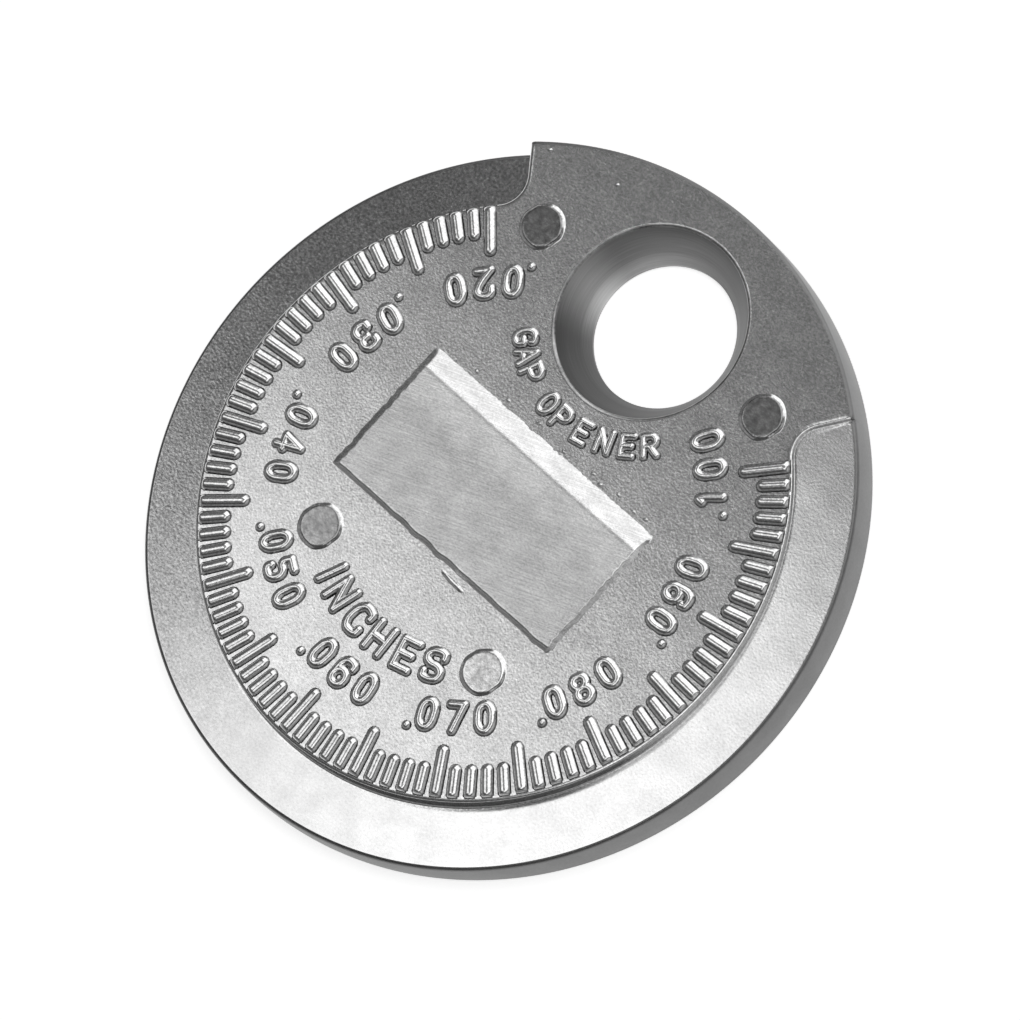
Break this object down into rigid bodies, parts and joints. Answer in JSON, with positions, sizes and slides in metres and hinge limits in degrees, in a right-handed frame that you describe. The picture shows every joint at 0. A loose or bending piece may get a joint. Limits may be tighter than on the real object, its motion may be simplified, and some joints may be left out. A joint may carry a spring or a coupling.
{
  "type": "spark plug gap gauge",
  "caption": "Coin-shaped cast gauge: a ramped rim that is slid into a spark plug's gap until it stops, a raised scale in inches, and a cone-shaped hole.",
  "frame": {"origin": "centre of the flat back, on the surface that it lies on", "axes": "+Z out of the scale face, +Y from the centre towards the hole, +X to the right as the face is looked at"},
  "size_m": [0.04, 0.04, 0.0031],
  "materials": {
    "cast_zinc": "die-cast zinc alloy, satin, with fine casting grain and bright worn edges"
  },
  "bodies": {
    "root": {"gap_gauge": "cast_zinc"}
  },
  "joints": []
}
